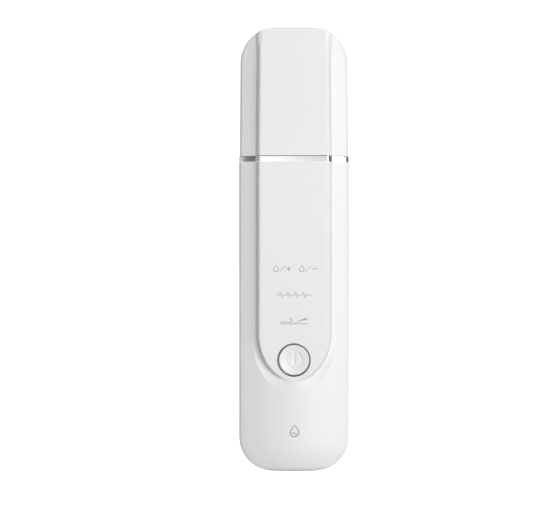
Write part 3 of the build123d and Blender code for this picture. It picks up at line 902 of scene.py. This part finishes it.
# ------------------------------------------------------------------ pieces on their bodies
for piece, body, slot, node in (
    (front_shell, "handle", "shell_white", "front_shell"),
    (back_shell, "handle", "shell_white", "back_shell"),
    (trim_ring, "handle", "chrome_trim", "trim_ring"),
    (cap, "cap", "cap_white", "cap_shell"),
    (button, "button", "shell_white", "power_button"),
    (bezel, "handle", "chrome_trim", "button_bezel"),
):
    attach(piece, body)
    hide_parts(node)
for piece in (icons, mark):
    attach(piece, "handle")


# ------------------------------------------------------------------ studio
FLOOR_HALF = 6.0        # metres
FLOOR_GLOW = 0.9
WORLD_BASE = 0.15       # strength of the surroundings
WORLD_BACK = 1.0        # what the backdrop adds to it
BACKDROP_EDGE = (0.35, 0.90)    # share of +Y in a direction where it starts and is full


def pale_floor():
    """White floor that glows, so that it runs into the backdrop, and throws no light back up."""
    m, tree, shader = material("studio_floor")
    fine = noise(tree, 30, 3)
    tree.links.new(tint(tree, fine.outputs["Fac"], (0.90, 0.90, 0.90), (0.93, 0.93, 0.93)),
                   shader.inputs["Base Color"])
    shader.inputs["Roughness"].default_value = 0.8
    shader.inputs["Emission Color"].default_value = (1, 1, 1, 1)
    shader.inputs["Emission Strength"].default_value = FLOOR_GLOW
    half = FLOOR_HALF
    mesh = bpy.data.meshes.new("floor")
    mesh.from_pydata([(-half, -half, 0), (half, -half, 0), (half, half, 0), (-half, half, 0)], [],
                     [(0, 1, 2, 3)])
    mesh.materials.append(m)
    floor = bpy.data.objects.new("floor", mesh)
    floor.visible_diffuse = False
    bpy.context.scene.collection.objects.link(floor)


# name; azimuth from the front towards +X and elevation, in degrees;
# distance, width and height, in metres; watts
LIGHTS = (
    ("key_right", 33, 5, 1.2, 0.98, 1.2, 20.2),
    ("fill_left", -76, 8, 1.2, 0.9, 1.2, 2.3),
    ("front_card", -14, 2, 1.2, 0.60, 0.8, 1.9),
    ("front_gap", 6, 2, 1.3, 0.26, 0.8, 0.45),
)


def studio_world():
    """Even pale surroundings, brighter behind the object like a lit white backdrop."""
    world = bpy.data.worlds.new("studio")
    world.use_nodes = True
    bpy.context.scene.world = world
    tree = world.node_tree
    background = tree.nodes["Background"]
    background.inputs["Color"].default_value = (1, 1, 1, 1)
    coords = tree.nodes.new("ShaderNodeTexCoord")
    split = tree.nodes.new("ShaderNodeSeparateXYZ")
    tree.links.new(coords.outputs["Generated"], split.inputs["Vector"])
    lobe = tree.nodes.new("ShaderNodeMapRange")
    lobe.interpolation_type = "SMOOTHSTEP"
    lobe.inputs["From Min"].default_value = BACKDROP_EDGE[0]
    lobe.inputs["From Max"].default_value = BACKDROP_EDGE[1]
    lobe.inputs["To Min"].default_value = WORLD_BASE
    lobe.inputs["To Max"].default_value = WORLD_BASE + WORLD_BACK
    tree.links.new(split.outputs["Y"], lobe.inputs["Value"])
    tree.links.new(lobe.outputs["Result"], background.inputs["Strength"])


def softbox(name, azimuth, elevation, distance, width, height, watts):
    """Soft rectangular light aimed at the object's middle, not itself seen by the camera."""
    a, e = math.radians(azimuth), math.radians(elevation)
    aim = Vector((0, 0, LENGTH / 2 * MM))
    towards = Vector((math.sin(a) * math.cos(e), -math.cos(a) * math.cos(e), math.sin(e)))
    spot = aim + distance * towards
    light = bpy.data.lights.new(name, "AREA")
    light.shape = "RECTANGLE"
    light.size = width
    light.size_y = height
    light.energy = watts
    obj = bpy.data.objects.new(name, light)
    obj.location = spot
    obj.rotation_euler = (aim - spot).to_track_quat("-Z", "Y").to_euler()
    obj.visible_camera = False
    bpy.context.scene.collection.objects.link(obj)


pale_floor()
studio_world()
for row in LIGHTS:
    softbox(*row)


# ------------------------------------------------------------------ camera
CAMERA_DISTANCE = 0.600     # metres, to the plane of the object's outline
FRAME_WIDTH = 0.2258        # metres that the picture takes in at that plane
OUTLINE_Y = 0.0008
SENSOR = 36.0

camera_data = bpy.data.cameras.new("camera")
camera_data.sensor_width = SENSOR
camera_data.lens = SENSOR * CAMERA_DISTANCE / FRAME_WIDTH
camera_data.shift_x = -0.0345
camera_data.shift_y = -0.0045
camera_data.clip_start = 0.01
camera = bpy.data.objects.new("camera", camera_data)
camera.location = (0, OUTLINE_Y - CAMERA_DISTANCE, LENGTH / 2 * MM)
camera.rotation_euler = (math.pi / 2, 0, 0)
bpy.context.scene.collection.objects.link(camera)
bpy.context.scene.camera = camera
bpy.context.scene.view_settings.view_transform = "Standard"
